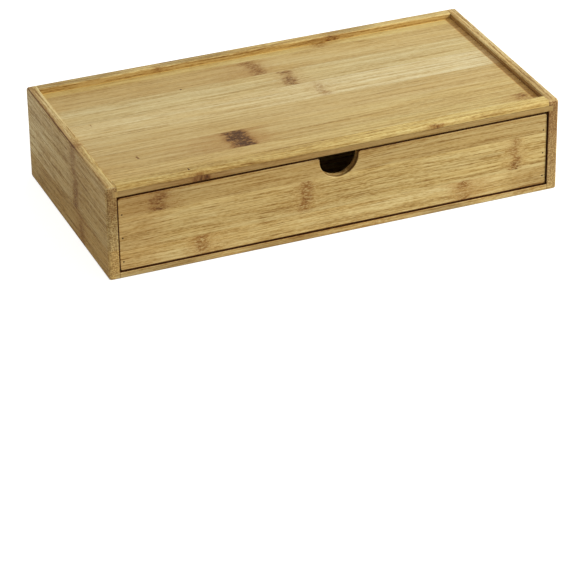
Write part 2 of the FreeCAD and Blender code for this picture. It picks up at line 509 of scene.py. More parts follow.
class Knuckle(Effect):
    """The mark of a culm's node in a strip: a pitted brown column with a smear of amber beside it."""

    title = "Culm Knuckle"
    takes = {"Spot": (VECTOR, None), **MARK_SOCKETS}
    gives = {"Core": FLOAT, "Pit": FLOAT, "Halo": FLOAT, "Push": FLOAT}
    bold: ClassVar[Span] = (0.75, 1.1)
    strip_edge: ClassVar[Span] = (0.94, 1.04)
    sway_share: ClassVar[float] = 1.6
    rag_share: ClassVar[float] = 1.3
    hair_share: ClassVar[float] = 0.9
    core_lean: ClassVar[float] = 0.45
    halo_lean: ClassVar[float] = 1.3
    halo_hairs: ClassVar[float] = 7.0
    bold_tears: ClassVar[float] = 0.22
    bold_share: ClassVar[float] = 0.8
    patch_edge: ClassVar[Span] = (0.15, 1.35)
    pit_edge: ClassVar[Span] = (0.05, 0.16)
    halo_edge: ClassVar[Span] = (0.0, 3.4)
    # Low and high of each ramp, and what it gives there.
    clouding: ClassVar[Quad] = (-0.16, 0.1, 0.45, 1.0)
    pitting: ClassVar[Quad] = (-0.2, 0.12, 1.8, 0.6)
    bending: ClassVar[Quad] = (0.3, 3.0, 4.0, 0.0)
    # Noise: repeats per millimetre along and across, finer layers, and their strength.
    sway_noise: ClassVar[Quad] = (0.02, 0.16, 1.0, 0.5)
    rag_noise: ClassVar[Quad] = (0.2, 0.7, 3.0, 0.6)
    hair_noise: ClassVar[Quad] = (0.03, 0.8, 3.0, 0.65)
    pit_noise: ClassVar[Quad] = (0.42, 1.25, 2.0, 0.6)
    cloud_noise: ClassVar[Quad] = (0.01, 0.11, 2.0, 0.5)
    through_repeats: ClassVar[float] = 0.1

    def wire(self) -> Feeds:
        """Shapes the column from the distance to its centre, with ragged edges and pits.

        Returns:
            What feeds its outputs.
        """
        away = self.vector("SUBTRACT", self["Spot"], self["Place"])
        _, _, seed = self.split(self["Place"])
        _, _, smear = self.split(self["Size"])
        strength, glow, pitted = self.split(self["Force"])
        seeded = self.vector("ADD", away, self.join(seed, seed, seed))

        def read(along: float, across: float, detail: float, rough: float) -> Socket:
            """Returns noise about zero, with so many repeats per millimetre."""
            place = self.vector("MULTIPLY", seeded, (along, across, self.through_repeats))
            return self.minus(self.noise(place, 1.0, detail, rough), 0.5)

        sway = read(*self.sway_noise)
        rag = read(*self.rag_noise)
        hairs = read(*self.hair_noise)
        pits = read(*self.pit_noise)
        torn = self.ramp(strength, *self.bold, 1.0, self.bold_tears, smooth=False)
        share = self.ramp(read(*self.cloud_noise), *self.clouding)
        share = self.most(share, self.ramp(strength, *self.bold, 0.0, self.bold_share))
        u, v, _ = self.split(self.vector("DIVIDE", away, self["Size"]))
        inside = self.fall(self.math("ABSOLUTE", v), *self.strip_edge)
        lean = self.most(self.times(smear, self.math("SIGN", u)), 0.0)
        swayed = self.plus(u, self.times(sway, self.sway_share))
        stretch = self.plus(self.times(lean, self.halo_lean), 1.0)
        reach = self.plus(self.times(lean, self.core_lean), 1.0)
        reach = self.over(self.math("ABSOLUTE", swayed), reach)
        tears = self.plus(self.times(rag, self.rag_share), self.times(hairs, self.hair_share))
        patch = self.fall(self.plus(reach, self.times(tears, torn)), *self.patch_edge)
        core = self.times(patch, share, inside)
        pit = self.times(self.ramp(pits, *self.pit_edge), core)
        core = self.times(core, self.ramp(pits, *self.pitting))
        near = self.over(self.math("ABSOLUTE", u), stretch)
        tail = self.minus(near, self.times(hairs, self.halo_hairs))
        halo = self.times(self.fall(tail, *self.halo_edge), inside)
        bend = self.times(self.plus(sway, rag), self.ramp(near, *self.bending))
        return {
            "Core": self.times(core, strength),
            "Pit": self.times(pit, pitted),
            "Halo": self.times(halo, glow),
            "Push": self.times(bend, inside),
        }


class SoftPatch(Effect):
    """A block of a board, with soft or sharp borders."""

    title = "Soft Patch"
    takes = {
        "Spot": (VECTOR, None),
        "Centre": (VECTOR, (0.0, 0.0, 0.0)),
        "Half": (VECTOR, (50.0, 12.5, 50.0)),
        "Soft": (VECTOR, (20.0, 0.5, 1.0)),
    }
    gives = {"Mask": FLOAT}
    border: ClassVar[Span] = (-0.5, 0.5)

    def wire(self) -> Feeds:
        """Fades out past the half lengths.

        Returns:
            What feeds its outputs.
        """
        away = self.vector("ABSOLUTE", self.vector("SUBTRACT", self["Spot"], self["Centre"]))
        past = self.vector("DIVIDE", self.vector("SUBTRACT", away, self["Half"]), self["Soft"])
        return {"Mask": self.times(*[self.fall(part, *self.border) for part in self.split(past)])}


class GlueLine(Effect):
    """The thin dark line where a board meets its neighbour in one flush face."""

    title = "Glue Line"
    takes = {
        "Spot": (VECTOR, None),
        "Axis": (VECTOR, (1.0, 0.0, 0.0)),
        "Place": (FLOAT, 0.0),
        "Width": (FLOAT, 0.35),
    }
    gives = {"Mask": FLOAT}
    break_scale: ClassVar[float] = 0.25
    # Low and high of the ramp, and what it gives there.
    breaks: ClassVar[Quad] = (0.3, 0.7, 0.6, 1.6)
    edge: ClassVar[Span] = (0.35, 1.0)

    def wire(self) -> Feeds:
        """Measures the distance to the joint's plane and breaks the line up a little.

        Returns:
            What feeds its outputs.
        """
        along = self.vector("DOT_PRODUCT", self["Spot"], self["Axis"])
        distance = self.math("ABSOLUTE", self.minus(along, self["Place"]))
        uneven = self.noise(self["Spot"], self.break_scale, 3.0, 0.6)
        width = self.times(self["Width"], self.ramp(uneven, *self.breaks))
        return {"Mask": self.fall(self.over(distance, width), *self.edge)}


class PaintedEdgeShade(Effect):
    """Painted shade on the edges of a board that runs close to its neighbours, where they lie in the narrow
    gaps.
    """

    title = "Painted Edge Shade"
    takes = {
        "Spot": (VECTOR, None),
        "Facing": (VECTOR, None),
        "Low": (VECTOR, (0.0, 0.0, 0.0)),
        "High": (VECTOR, (1.0, 1.0, 1.0)),
    }
    gives = {"Mask": FLOAT}
    rim: ClassVar[Span] = (0.5, 1.15)
    depth: ClassVar[Span] = (0.9, 2.6)
    forward: ClassVar[Span] = (0.6, 0.92)

    def wire(self) -> Feeds:
        """Finds what lies close to the board's outline, near its front but not facing it.

        Returns:
            What feeds its outputs.
        """
        inward = self.vector("SUBTRACT", self["Spot"], self["Low"])
        outward = self.vector("SUBTRACT", self["High"], self["Spot"])
        along, across, _ = self.split(self.vector("MINIMUM", inward, outward))
        _, _, front = self.split(self["Facing"])
        _, _, deep = self.split(inward)
        outline = self.fall(self.math("MINIMUM", along, across), *self.rim)
        outline = self.times(outline, self.fall(deep, *self.depth))
        return {"Mask": self.times(outline, self.fall(front, *self.forward))}


class EndGrain(Effect):
    """Cut fibre ends: dark dots in rows, on faces square to the grain."""

    title = "End Grain"
    takes = {"Spot": (VECTOR, None), "Facing": (VECTOR, None)}
    gives = {"End": FLOAT, "Pore": FLOAT}
    pore_scale: ClassVar[float] = 0.74
    pore_scatter: ClassVar[float] = 0.7
    crowd_scale: ClassVar[float] = 0.35
    # Low and high of the ramp, and what it gives there.
    pore_size: ClassVar[Quad] = (0.3, 0.7, 0.4, 0.66)
    pore_edge: ClassVar[Span] = (0.5, 1.15)
    square_on: ClassVar[Span] = (0.55, 0.85)

    def wire(self) -> Feeds:
        """Finds the faces and scatters the dots over them.

        Returns:
            What feeds its outputs.
        """
        facing, _, _ = self.split(self["Facing"])
        _, across, deep = self.split(self["Spot"])
        flat = self.join(across, deep, 0.0)
        crowd = self.noise(flat, self.crowd_scale, 2.0)
        feeds = {"Vector": flat, "Scale": self.pore_scale, "Randomness": self.pore_scatter}
        cells = self.node("ShaderNodeTexVoronoi", feeds, voronoi_dimensions="2D")
        size = self.ramp(crowd, *self.pore_size)
        pore = self.fall(self.over(cells.outputs["Distance"], size), *self.pore_edge)
        return {"End": self.ramp(facing, *self.square_on), "Pore": pore}


class ArrisWear(Effect):
    """Where a board's sanded edges turn, rubbed and soiled unevenly by hands."""

    title = "Arris Wear"
    takes = {"Spot": (VECTOR, None), "Facing": (VECTOR, None)}
    gives = {"Turn": FLOAT, "Wear": FLOAT}
    rub_scale: ClassVar[Triple] = (0.12, 0.3, 0.3)
    turning: ClassVar[Span] = (0.995, 0.93)
    rubbed: ClassVar[Span] = (0.45, 0.62)

    def wire(self) -> Feeds:
        """Compares the normal with the board's axes.

        Returns:
            What feeds its outputs.
        """
        turn = self.ramp(self.most(*self.split(self["Facing"])), *self.turning)
        rubs = self.noise(self.vector("MULTIPLY", self["Spot"], self.rub_scale), 1.0, 4.0, 0.7)
        return {"Turn": turn, "Wear": self.times(turn, self.ramp(rubs, *self.rubbed))}


class BambooSkin(Effect):
    """Puts the parts of the grain together as colour, roughness and height."""

    title = "Bamboo Skin"
    takes = {
        "Pale": (COLOUR, (0.72, 0.58, 0.30)),
        "Tan": (COLOUR, (0.50, 0.35, 0.13)),
        "Dark": (COLOUR, (0.27, 0.15, 0.045)),
        "Amber": (COLOUR, (0.45, 0.24, 0.075)),
        "Burn": (COLOUR, (0.30, 0.12, 0.022)),
        "Knot": (COLOUR, (0.07, 0.036, 0.018)),
        "Cut": (COLOUR, (0.40, 0.22, 0.08)),
        **dict.fromkeys(("Tone", "Band", "Streak"), (FLOAT, 0.5)),
        "Line": (FLOAT, 0.0),
        **dict.fromkeys(("Hair", "Dash", "Bloom"), (FLOAT, 0.5)),
        **dict.fromkeys(("Joint", "Core", "Pit", "Halo", "End", "Pore", "Wear"), (FLOAT, 0.0)),
        **dict.fromkeys(("Contrast", "Uneven"), (FLOAT, 1.0)),
        "Gloss": (FLOAT, 0.42),
    }
    gives = {"Color": COLOUR, "Roughness": FLOAT, "Height": FLOAT}
    shares: ClassVar[dict[str, float]] = {"Band": 0.55, "Streak": 1.1, "Hair": 0.85, "Dash": 0.55}
    lows: ClassVar[dict[str, float]] = {"Hair": 0.4, "Line": 0.6, "Joint": 1.5, "Core": 0.8, "Pit": 1.4}
    pore_low: ClassVar[float] = 1.5
    covers: ClassVar[dict[str, float]] = {
        "Line": 0.5, "Halo": 0.75, "Pit": 0.6, "Pore": 1.0, "End": 1.0, "Joint": 0.6, "Wear": 0.3,
    }
    roughs: ClassVar[dict[str, float]] = {"Streak": 0.1, "End": 0.2}
    end_blend: ClassVar[float] = 0.3
    tan_depth: ClassVar[Span] = (0.0, 0.85)
    dark_depth: ClassVar[Span] = (0.65, 1.35)
    # Low and high of each ramp, and what it gives there.
    burning: ClassVar[Quad] = (0.0, 0.6, 0.0, 0.85)
    knotting: ClassVar[Quad] = (0.45, 1.1, 0.0, 0.95)
    cool: ClassVar[Colour] = (1.02, 1.03, 1.05)
    warm: ClassVar[Colour] = (1.0, 0.95, 0.84)

    def wire(self) -> Feeds:
        """Adds the parts in the order in which they lie in the board.

        Returns:
            What feeds its outputs.
        """

        def cover(colour: Feed, name: str, over: Feed) -> Socket:
            """Lays a colour over another one where a part of the grain shows."""
            return self.mix(self.times(self[name], self.covers[name]), colour, over)

        depth: Feed = 0.0
        for name, share in self.shares.items():
            part = self.times(self.minus(self[name], 0.5), share)
            depth = self.plus(depth, part)
        depth = self.times(depth, self["Contrast"])
        tone = self.times(self.minus(self["Tone"], 0.5), self["Uneven"])
        depth = self.plus(depth, tone, 0.5)
        colour = self.mix(self.ramp(depth, *self.tan_depth, smooth=False), self["Pale"], self["Tan"])
        colour = self.mix(self.ramp(depth, *self.dark_depth, smooth=False), colour, self["Dark"])
        colour = self.tint(colour, self.mix(self["Bloom"], self.cool, self.warm))
        colour = cover(colour, "Line", self["Dark"])
        colour = cover(colour, "Halo", self["Amber"])
        colour = self.mix(self.ramp(self["Core"], *self.burning), colour, self["Burn"])
        colour = self.mix(self.ramp(self["Core"], *self.knotting), colour, self["Knot"])
        colour = cover(colour, "Pit", self["Pale"])
        cut = cover(self["Cut"], "Pore", self["Dark"])
        colour = cover(colour, "End", self.mix(self.end_blend, cut, colour))
        colour = cover(colour, "Joint", self["Knot"])
        colour = cover(colour, "Wear", self["Dark"])
        rough: Feed = self["Gloss"]
        for name, share in self.roughs.items():
            rough = self.plus(rough, self.times(self[name], share))
        low = self.times(self["Pore"], self["End"], self.pore_low)
        for name, share in self.lows.items():
            low = self.plus(low, self.times(self[name], share))
        return {"Color": colour, "Roughness": rough, "Height": self.times(low, -1.0)}


# ---------------------------------------------------------------------------
# Boards and their finishes
# ---------------------------------------------------------------------------


def make_material(title: str, skin: Callable[[Wiring], Feeds]) -> bpy.types.Material:
    """Makes a material that ends in a Principled shader.

    Args:
        title: its name.
        skin: adds the material's own nodes and returns what feeds the shader.

    Returns:
        The material.
    """
    material = bpy.data.materials.new(title)
    material.use_nodes = True
    material.node_tree.nodes.clear()
    wiring = Wiring(material.node_tree)
    shader = wiring.node("ShaderNodeBsdfPrincipled", skin(wiring))
    wiring.node("ShaderNodeOutputMaterial", {"Surface": shader.outputs[0]})
    return material


def put_on(piece: bpy.types.Object, material: bpy.types.Material) -> bpy.types.Material:
    """Puts a material in all of a piece's slots.

    Args:
        piece: the piece's object.
        material: what it wears.

    Returns:
        The material.
    """
    for slot in piece.material_slots:
        slot.material = material
    return material


@dataclass(frozen=True)
class KnuckleMark:
    """One knuckle: its place and half lengths along and across the grain, in millimetres."""

    along: float
    across: float
    half_along: float = 6.0
    half_across: float = 12.6
    strength: float = 0.6
    smear: float = 0.0
    halo: float = 0.3
    pits: float = 0.6
    reach: float = 90.0


@dataclass(frozen=True)
class TonePatch:
    """A block of a board with a tint, from low to high on each of the board's axes. The tint is the board's
    own colour in most blocks, and painted shade or painted light in some.
    """

    tint: Colour
    along: Span = ANYWHERE
    across: Span = ANYWHERE
    through: Span = ANYWHERE
    soft: Triple = (30.0, 0.8, 0.4)

    def centre(self) -> Triple:
        """Returns the block's middle."""
        return tuple(0.5 * (end + start) for start, end in (self.along, self.across, self.through))

    def half(self) -> Triple:
        """Returns the block's half lengths."""
        return tuple(0.5 * (end - start) for start, end in (self.along, self.across, self.through))


@dataclass(frozen=True)
class FlushJoint:
    """A plane, in millimetres, where a board meets another in one flush face."""

    axis: Triple
    place: float
    width: float = 0.35


@dataclass(frozen=True)
class BoardLook:
    """How one board was cut, glued up and marked, and where shade or light is painted on it.

    The tones give each strip a tint at its low end and one at its high end, from the strip before
    the first joint on.
    """

    node: str
    run: GrainRun
    lay: Lay
    seed: int
    strip: float = 25.0
    first_joint: float = 0.0
    plies: int = 1
    tint: Colour = NO_TINT
    contrast: float = 1.0
    fine: float = 1.0
    short: float = 1.0
    uneven: float = 0.45
    glue: float = 0.6
    edge_shade: float = 0.0
    marks: tuple[KnuckleMark, ...] = ()
    tones: tuple[tuple[Colour, Colour], ...] = ()
    patches: tuple[TonePatch, ...] = ()
    joints: tuple[FlushJoint, ...] = ()
    grown_half: ClassVar[Span] = (4.0, 6.5)
    grown_strength: ClassVar[Span] = (0.3, 0.7)
    grown_smear: ClassVar[Span] = (-0.6, 0.6)

    def axes(self) -> tuple[Vector, Vector, Vector]:
        """Works out how the board lies.

        Returns:
            The directions along, across and through it.
        """
        grain = Vector(self.run.value)
        up = Vector(Z_AXIS)
        level = Vector((abs(grain.y), abs(grain.x), 0.0))
        return (grain, level, up) if self.lay is Lay.FLAT else (grain, up, level)

    def span(self, axis: Vector) -> Span:
        """Returns how far the board reaches along an axis, in millimetres."""
        low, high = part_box(self.node)
        return low.dot(axis) / MM, high.dot(axis) / MM

    def grown_marks(self) -> tuple[KnuckleMark, ...]:
        """Draws a mark for each strip where none is given.

        Returns:
            The marks given, or the marks drawn.
        """
        if self.marks:
            return self.marks
        draw = random.Random(self.seed)
        grain, across, _ = self.axes()
        low, high = self.span(grain)
        bottom, top = self.span(across)
        count = math.floor((bottom - self.first_joint) / self.strip)
        middle = self.first_joint + (count + 0.5) * self.strip
        found = []
        while middle - 0.5 * self.strip < top:
            found.append(KnuckleMark(
                along=draw.uniform(low, high), across=middle,
                half_along=draw.uniform(*self.grown_half), half_across=0.5 * self.strip,
                strength=draw.uniform(*self.grown_strength), smear=draw.uniform(*self.grown_smear),
            ))
            middle += self.strip
        return tuple(found)


@dataclass(frozen=True)
class BambooFinish:
    """Laminated bamboo, sanded and thinly lacquered. Colours are linear."""

    title: str
    pale: Colour = (0.73, 0.58, 0.28)
    tan: Colour = (0.52, 0.345, 0.115)
    dark: Colour = (0.27, 0.14, 0.034)
    amber: Colour = (0.46, 0.245, 0.07)
    burn: Colour = (0.29, 0.125, 0.024)
    knot: Colour = (0.075, 0.024, 0.002)
    cut: Colour = (0.58, 0.41, 0.15)
    # painted shade: the colour laid on a board's edges where they lie in the gaps round the drawer front
    shade: Colour = (0.10, 0.018, 0.003)
    gloss: float = 0.42
    lacquer: float = 0.06
    lacquer_rough: float = 0.3
    sheen: float = 0.25
    relief: float = 0.00006
    grain_colours: ClassVar[tuple[str, ...]] = ("pale", "tan", "dark", "amber", "burn", "knot", "cut")
    skin_deep: ClassVar[float] = 0.2
    ply_glue: ClassVar[float] = 0.5
    tone_blend: ClassVar[Span] = (-60.0, 60.0)
    board_seed: ClassVar[int] = 31
    mark_seed: ClassVar[int] = 17

    def dress(self, look: BoardLook, board: bpy.types.Object) -> bpy.types.Material:
        """Makes a board's material and puts it on the board.

        Args:
            look: how the board was cut and marked.
            board: the board's object.

        Returns:
            The material.
        """
        title = f"{self.title}_{look.node}"
        return put_on(board, make_material(title, lambda wiring: self.skin(wiring, look)))

    def skin(self, wiring: Wiring, look: BoardLook) -> Feeds:
        """Places the shared effects with a board's values.

        Args:
            wiring: writes into the board's material.
            look: how the board was cut and marked.

        Returns:
            What feeds the shader.
        """
        grain, across, through = look.axes()
        axes = BoardAxes.place(wiring, grain=grain[:], across=across[:], through=through[:])
        spot, facing = axes["Spot"], axes["Facing"]
        low, high = look.span(through)
        strips = Strips.place(
            wiring, spot=spot, width=look.strip, first_joint=look.first_joint,
            ply=(high - low + 2.0 * self.skin_deep) / look.plies, first_ply=low - self.skin_deep,
            seed=float(look.seed),
        )
        marks = self.knuckles(wiring, look, spot)
        fibres = Fibres.place(
            wiring, spot=strips["Own Spot"], push=marks["Push"], fine=look.fine, short=look.short
        )
        cut = EndGrain.place(wiring, spot=spot, facing=facing)
        arris = ArrisWear.place(wiring, spot=spot, facing=facing)
        seam = self.seams(wiring, look, spot, strips)
        parts = {**strips, **marks, **fibres, **cut, **arris, "Joint": seam}
        skin = BambooSkin.place(
            wiring, contrast=look.contrast, uneven=look.uneven, gloss=self.gloss,
            **{name: getattr(self, name) for name in self.grain_colours},
            **{name.lower(): parts[name] for name in BambooSkin.takes if name in parts},
        )
        colour = self.tinted(wiring, look, axes, skin["Color"])
        feeds = {"Strength": 1.0, "Distance": self.relief, "Height": skin["Height"]}
        return {
            "Base Color": colour,
            "Roughness": skin["Roughness"],
            "Coat Weight": self.lacquer,
            "Coat Roughness": self.lacquer_rough,
            "Specular IOR Level": self.sheen,
            "Normal": wiring.node("ShaderNodeBump", feeds).outputs[0],
        }

    def knuckles(self, wiring: Wiring, look: BoardLook, spot: Socket) -> Sockets:
        """Picks the nearest mark's values by a chain of pickers, and draws the knuckle once.

        Args:
            wiring: writes into the board's material.
            look: how the board was cut and marked.
            spot: the place on the board.

        Returns:
            The knuckle's masks and its push on the fibres.
        """
        picked: Feeds = {}
        for number, mark in enumerate(look.grown_marks()):
            seed = float(look.seed * self.board_seed + number * self.mark_seed)
            picked = MarkPicker.place(
                wiring, spot=spot, reach=mark.reach,
                place=(mark.along, mark.across, seed),
                size=(mark.half_along, mark.half_across, mark.smear),
                force=(mark.strength, mark.halo, mark.pits),
                **{f"other_{name.lower()}": value for name, value in picked.items()},
            )
        return Knuckle.place(wiring, spot=spot, **{name.lower(): value for name, value in picked.items()})

    def seams(self, wiring: Wiring, look: BoardLook, spot: Socket, strips: Sockets) -> Socket:
        """Lays the joints between strips, plies and boards over each other.

        Args:
            wiring: writes into the board's material.
            look: how the board was cut and marked.
            spot: the place on the board.
            strips: what the strips put out.

        Returns:
            A mask that is 1 on the joints.
        """
        seam = wiring.times(strips["Joint"], look.glue)
        if look.plies > 1:
            seam = wiring.most(seam, wiring.times(strips["Ply Joint"], self.ply_glue))
        for joint in look.joints:
            line = GlueLine.place(wiring, spot=spot, axis=joint.axis, place=joint.place, width=joint.width)
            seam = wiring.most(seam, line["Mask"])
        return seam

    def tinted(self, wiring: Wiring, look: BoardLook, axes: Sockets, colour: Socket) -> Socket:
        """Tints the board as a whole, strip by strip, and in its patches, some of which hold painted shade
        or painted light, and paints shade on its edges that lie in gaps.

        Args:
            wiring: writes into the board's material.
            look: how the board was cut and marked.
            axes: the place on the board and how it faces.
            colour: the bamboo's own colour.

        Returns:
            The tinted colour.
        """
        spot = axes["Spot"]
        if look.tint != NO_TINT:
            colour = wiring.tint(colour, look.tint)
        if look.tones:
            along, place, _ = wiring.split(spot)
            place = wiring.minus(place, look.first_joint - look.strip)
            place = wiring.over(place, look.strip * len(look.tones))
            ends = [wiring.steps(place, side) for side in zip(*look.tones)]
            colour = wiring.tint(colour, wiring.mix(wiring.ramp(along, *self.tone_blend), *ends))
        for patch in look.patches:
            area = SoftPatch.place(
                wiring, spot=spot, soft=patch.soft, centre=patch.centre(), half=patch.half()
            )
            colour = wiring.tint(colour, patch.tint, area["Mask"])
        # Painted shade on the edges that lie in the gaps round the board.
        if look.edge_shade:
            low, high = zip(*(look.span(axis) for axis in look.axes()))
            edge = PaintedEdgeShade.place(wiring, spot=spot, facing=axes["Facing"], low=low, high=high)
            colour = wiring.mix(wiring.times(edge["Mask"], look.edge_shade), colour, self.shade)
        return colour


@dataclass(frozen=True)
class SteelFinish:
    """Dulled steel wire, darkened unevenly."""

    title: str = "dulled_steel"
    bright: Colour = (0.06, 0.045, 0.03)
    dull: Colour = (0.012, 0.008, 0.005)
    rough: Span = (0.35, 0.6)
    speckle: float = 2600.0
    dulled: Span = (0.4, 0.65)
    roughened: Span = (0.3, 0.7)

    def dress(self, piece: bpy.types.Object) -> bpy.types.Material:
        """Makes the steel and puts it on a piece."""
        return put_on(piece, make_material(self.title, self.skin))

    def skin(self, wiring: Wiring) -> Feeds:
        """Darkens and roughens the steel in specks.

        Args:
            wiring: writes into the material.

        Returns:
            What feeds the shader.
        """
        source = wiring.node("ShaderNodeTexCoord")
        specks = wiring.noise(source.outputs["Object"], self.speckle, 3.0, 0.6)
        return {
            "Base Color": wiring.mix(wiring.ramp(specks, *self.dulled), self.bright, self.dull),
            "Metallic": 1.0,
            "Roughness": wiring.ramp(specks, *self.roughened, *self.rough),
        }


# ---------------------------------------------------------------------------
# Sub-assemblies
# ---------------------------------------------------------------------------


@dataclass
class SubAssembly:
    """Boards that go together, with one finish."""

    title: str
    finish: BambooFinish
    looks: list[BoardLook] = field(default_factory=list)

    def dress(self, nodes: dict[str, bpy.types.Object]) -> None:
        """Gives each board its material.

        Args:
            nodes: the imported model's objects by name.
        """
        for look in self.looks:
            material = self.finish.dress(look, nodes[look.node])
            LOG.info("%s: %s wears %s", self.title, look.node, material.name)


@dataclass
class Case(SubAssembly):
    """The box's two sides, back, tray floor, lip and bottom."""

    title: str = "case"
    finish: BambooFinish = field(default_factory=lambda: BambooFinish("case_bamboo"))
    tray_strip: float = 25.1
    tray_joint: float = -56.3
    # Thin layers, in millimetres, that hold one face of the case.
    front_end: ClassVar[Span] = (-86.0, -84.4)
    front_edge: ClassVar[Span] = (-86.0, -84.5)
    rim_top: ClassVar[Span] = (69.3, 71.0)
    side_run: ClassVar[Span] = (-84.6, 90.0)
    wall_joints: ClassVar[tuple[FlushJoint, ...]] = (FlushJoint(X_AXIS, -160.0), FlushJoint(X_AXIS, 160.0))

    def __post_init__(self) -> None:
        """Lists the boards."""
        self.looks = [
            self.tray(), self.left_side(), self.right_side(), self.back(), self.lip(), self.bottom(),
        ]

    def tray(self) -> BoardLook:
        """Describes the tray floor.

        Returns:
            Its look.
        """
        return BoardLook(
            "top_panel", GrainRun.ACROSS_THE_BOX, Lay.FLAT, seed=3, strip=self.tray_strip,
            first_joint=self.tray_joint, contrast=0.76, fine=1.6, uneven=0.1, glue=0.4,
            marks=(
                KnuckleMark(53.5, 81.7, 7.0, 12.5, 0.45, halo=0.7),
                KnuckleMark(-5.5, 56.6, 6.0, 12.5, 0.42, smear=-1.0, halo=0.6, pits=0.5),
                KnuckleMark(11.3, 31.5, 6.0, 12.5, 0.6, halo=0.5, pits=0.4),
                KnuckleMark(26.0, 6.5, 4.5, 12.5, 0.3, halo=0.25, pits=0.8),
                KnuckleMark(-54.5, -43.7, 8.5, 12.5, 1.3, smear=-0.8, halo=0.9, pits=0.3),
                KnuckleMark(150.0, -66.0, 7.0, 9.0, 0.5, halo=0.5),
                KnuckleMark(-100.5, -93.9, 7.0, 12.5, 0.6, halo=0.4, pits=0.3),
                KnuckleMark(-65.6, 44.8, 0.7, 0.7, 3.0, halo=0.3, pits=0.0, reach=2.0),
                KnuckleMark(-130.0, -43.0, 0.8, 2.0, 1.2, halo=0.0, pits=0.0, reach=2.5),
                KnuckleMark(-143.0, 15.6, 0.6, 2.0, 0.9, halo=0.0, pits=0.0, reach=2.5),
            ),
            tones=(
                ((0.94, 0.94, 0.88), (0.96, 1.02, 1.00)),
                ((0.86, 0.85, 0.81), (0.92, 0.95, 0.93)),
                ((0.90, 0.91, 0.91), (0.90, 0.92, 0.94)),
                ((1.02, 1.10, 1.26), (1.06, 1.21, 1.58)),
                ((0.97, 1.05, 1.18), (0.97, 1.06, 1.20)),
                ((0.86, 0.84, 0.79), (0.92, 0.94, 0.94)),
                ((0.95, 0.97, 0.88), (0.98, 1.03, 0.98)),
            ),
            patches=(
                # Painted warm light: the rim's shadow band along the right edge is tinted warmer, standing
                # in for light bounced off the rim.
                TonePatch((1.05, 0.86, 0.68), (155.2, 161.0), (-75.5, 78.0), soft=(0.5, 0.4, 1.0)),
                # Painted highlight: a lit line along the tray floor's back edge, at the foot of the back
                # rim.
                TonePatch((1.25, 1.25, 1.05), across=(76.7, 78.0), soft=(1.0, 0.4, 1.0)),
                TonePatch((1.18, 1.20, 1.12), (-161.0, -159.2), soft=(0.4, 1.0, 1.0)),
                TonePatch((0.71, 0.61, 0.53), across=self.front_edge, soft=(30.0, 0.4, 1.0)),
                TonePatch((0.84, 0.77, 0.70), (-130.0, -75.0), self.front_edge, soft=(40.0, 0.4, 1.0)),
            ),
            joints=(FlushJoint(X_AXIS, -163.2), FlushJoint(X_AXIS, 163.2)),
        )

    def left_side(self) -> BoardLook:
        """Describes the left side board.

        Returns:
            Its look.
        """
        outer, inner = (-170.0, -167.0), (-167.0, -159.0)
        run, top, foot = self.side_run, self.rim_top, (-1.0, 1.0)
        return BoardLook(
            "left_side", GrainRun.FRONT_TO_BACK, Lay.UPRIGHT, seed=11, first_joint=22.0, plies=3,
            contrast=1.35, fine=1.9, short=3.0, uneven=0.1, glue=0.2,
            tones=(
                ((0.86, 0.82, 0.74), (0.80, 0.76, 0.70)),
                ((0.84, 0.85, 0.88), (1.04, 1.14, 1.42)),
                ((0.87, 0.89, 0.97), (1.02, 1.13, 1.42)),
            ),
            marks=(
                KnuckleMark(-16.5, 59.5, 6.5, 12.5, 0.4, halo=0.3, pits=0.3),
                KnuckleMark(-19.0, 34.5, 7.0, 12.5, 0.45, halo=0.3, pits=0.3),
                KnuckleMark(-28.0, 9.5, 6.0, 12.5, 0.45, halo=0.4, pits=0.3),
            ),
            patches=(
                # Painted warm light: the shaded outer face is tinted warmer, standing in for light bounced
                # onto it.
                TonePatch((1.02, 0.94, 0.82), through=outer, soft=(1.0, 1.0, 0.5)),
                TonePatch((1.12, 1.18, 1.28), (30.0, 90.0), (41.0, 56.0), outer, (40.0, 6.0, 0.5)),
                TonePatch((1.15, 1.24, 1.38), (60.0, 90.0), (4.0, 42.0), outer, (30.0, 10.0, 0.5)),
                TonePatch((0.86, 0.78, 0.71), run, top, (-167.2, -165.0), (1.0, 0.4, 0.6)),
                TonePatch((0.45, 0.33, 0.22), (-30.0, 90.0), top, (-170.0, -166.3), (40.0, 0.4, 0.4)),
                # Painted shade: a dark band along the foot of the outer face, where the rounded bottom edge
                # lies in shade at the floor.
                TonePatch((0.50, 0.40, 0.30), (-84.0, 90.0), foot, (-170.0, -166.6), (1.0, 0.8, 0.5)),
                TonePatch((0.90, 0.82, 0.67), run, top, inner, (1.0, 0.4, 0.4)),
                TonePatch((1.14, 1.18, 1.18), run, top, (-163.0, -159.0), (1.0, 0.4, 0.4)),
                TonePatch((1.10, 1.16, 1.18), (-84.6, -20.0), top, inner, (30.0, 0.4, 0.4)),
                TonePatch((0.82, 0.71, 0.60), self.front_end, (46.0, 80.0), soft=(0.4, 16.0, 1.0)),
                TonePatch((1.38, 1.40, 1.46), self.front_end, (-20.0, 30.0), soft=(0.4, 34.0, 1.0)),
            ),
        )

